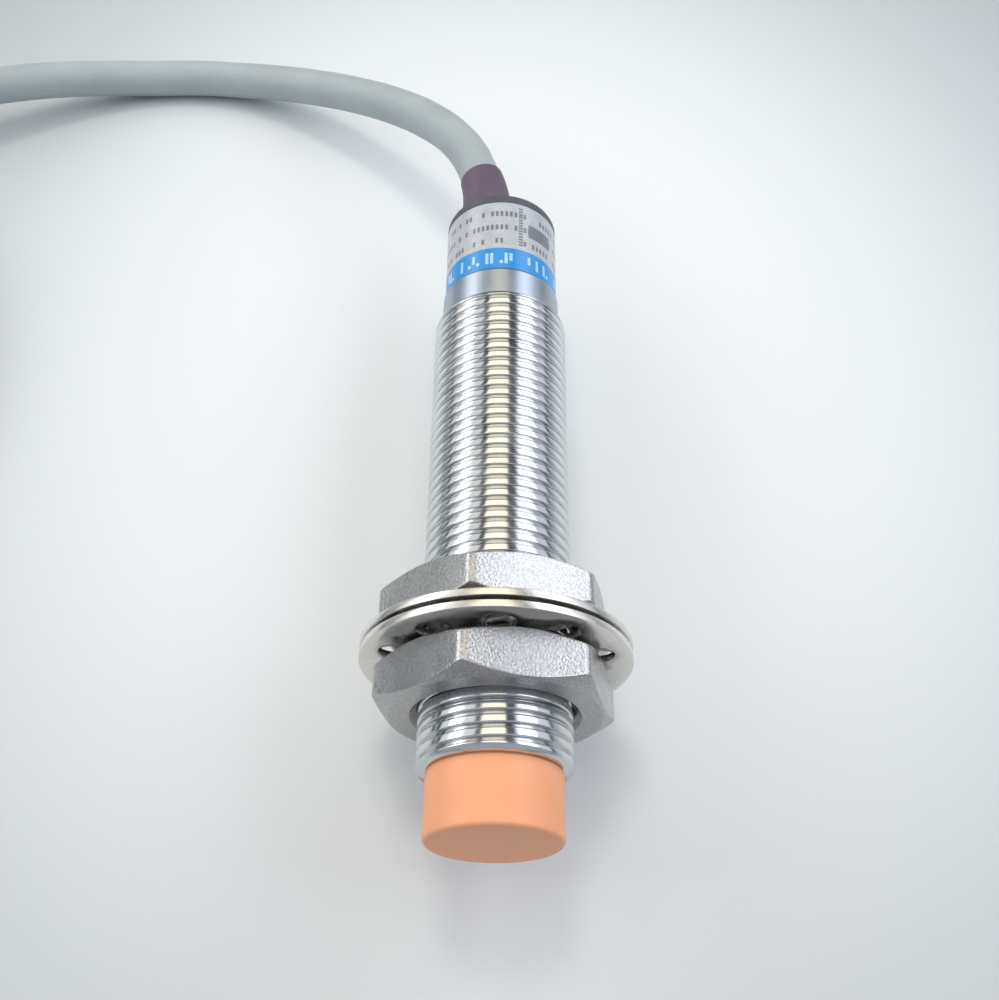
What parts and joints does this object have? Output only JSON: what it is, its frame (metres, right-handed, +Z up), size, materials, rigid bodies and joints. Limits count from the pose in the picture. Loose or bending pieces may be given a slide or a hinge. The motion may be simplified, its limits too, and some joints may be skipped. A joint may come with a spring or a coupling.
{
  "type": "proximity sensor",
  "caption": "Cylindrical inductive proximity sensor with a threaded barrel, two hex nuts on toothed lock washers, a protruding sensing cap and a moulded cable.",
  "frame": {"origin": "centre of the sensing face, on the barrel axis", "axes": "+Y runs along the barrel from the sensing face to the cable outlet, +Z is up when the sensor lies on the rims of its washers, +X completes the right-handed frame"},
  "size_m": [0.1366, 0.0951, 0.0216],
  "materials": {
    "cap_plastic": "satin",
    "ferrite": "matte",
    "bobbin_plastic": "matte",
    "copper": "satin",
    "resin": "gloss",
    "board": "satin",
    "chip_plastic": "matte",
    "resistor": "satin",
    "capacitor": "satin",
    "led_plastic": "gloss",
    "solder": "satin",
    "board_lead_plastic": "satin",
    "barrel_plating": "polished",
    "nut_plating": "satin",
    "washer_plating": "satin",
    "label_film": "satin",
    "end_cap_plastic": "satin",
    "strain_relief_pvc": "matte",
    "cable_pvc": "matte",
    "tie_plastic": "satin",
    "brown_pvc": "satin",
    "blue_pvc": "satin",
    "black_pvc": "satin",
    "tinned_copper": "satin"
  },
  "bodies": {
    "root": {"sensing_cap": "cap_plastic", "ferrite_core": "ferrite", "coil_bobbin": "bobbin_plastic", "coil_winding": "copper", "coil_leads": "copper", "front_resin": "resin", "circuit_board": "board", "oscillator_chip": "chip_plastic", "output_transistor": "chip_plastic", "chip_resistors": "resistor", "chip_capacitors": "capacitor", "protection_diodes": "chip_plastic", "indicator_led": "led_plastic", "solder_joints": "solder", "board_leads": "board_lead_plastic", "rear_resin": "resin", "threaded_barrel": "barrel_plating", "rating_label": "label_film", "end_cap": "end_cap_plastic", "strain_relief": "strain_relief_pvc", "cable_run": "cable_pvc", "cable_coil": "cable_pvc", "cable_tail": "cable_pvc", "coil_tie": "tie_plastic", "brown_lead": "brown_pvc", "blue_lead": "blue_pvc", "black_lead": "black_pvc", "lead_tips": "tinned_copper"},
    "front_washer": {"front_washer": "washer_plating"},
    "front_nut": {"front_nut": "nut_plating"},
    "rear_washer": {"rear_washer": "washer_plating"},
    "rear_nut": {"rear_nut": "nut_plating"}
  },
  "joints": [
    {"name": "front_washer_slide", "type": "slide", "parent": "root", "child": "front_washer", "axis": [0, 1, 0], "range_m": [-0.0045, 0]},
    {"name": "front_nut_turn", "type": "hinge", "parent": "front_washer", "child": "front_nut", "pos_m": [0, 0.0117, 0], "axis": [0, 1, 0], "range_deg": [-1584, 0]},
    {"name": "rear_washer_slide", "type": "slide", "parent": "root", "child": "rear_washer", "axis": [0, 1, 0], "range_m": [0, 0.0271]},
    {"name": "rear_nut_turn", "type": "hinge", "parent": "rear_washer", "child": "rear_nut", "pos_m": [0, 0.0178, 0], "axis": [0, 1, 0], "range_deg": [0, 9720]}
  ],
  "couplings": [
    {"joint": "front_washer_slide", "follows": "front_nut_turn", "m_per_rad": 0.00015915},
    {"joint": "rear_washer_slide", "follows": "rear_nut_turn", "m_per_rad": 0.00015915}
  ]
}
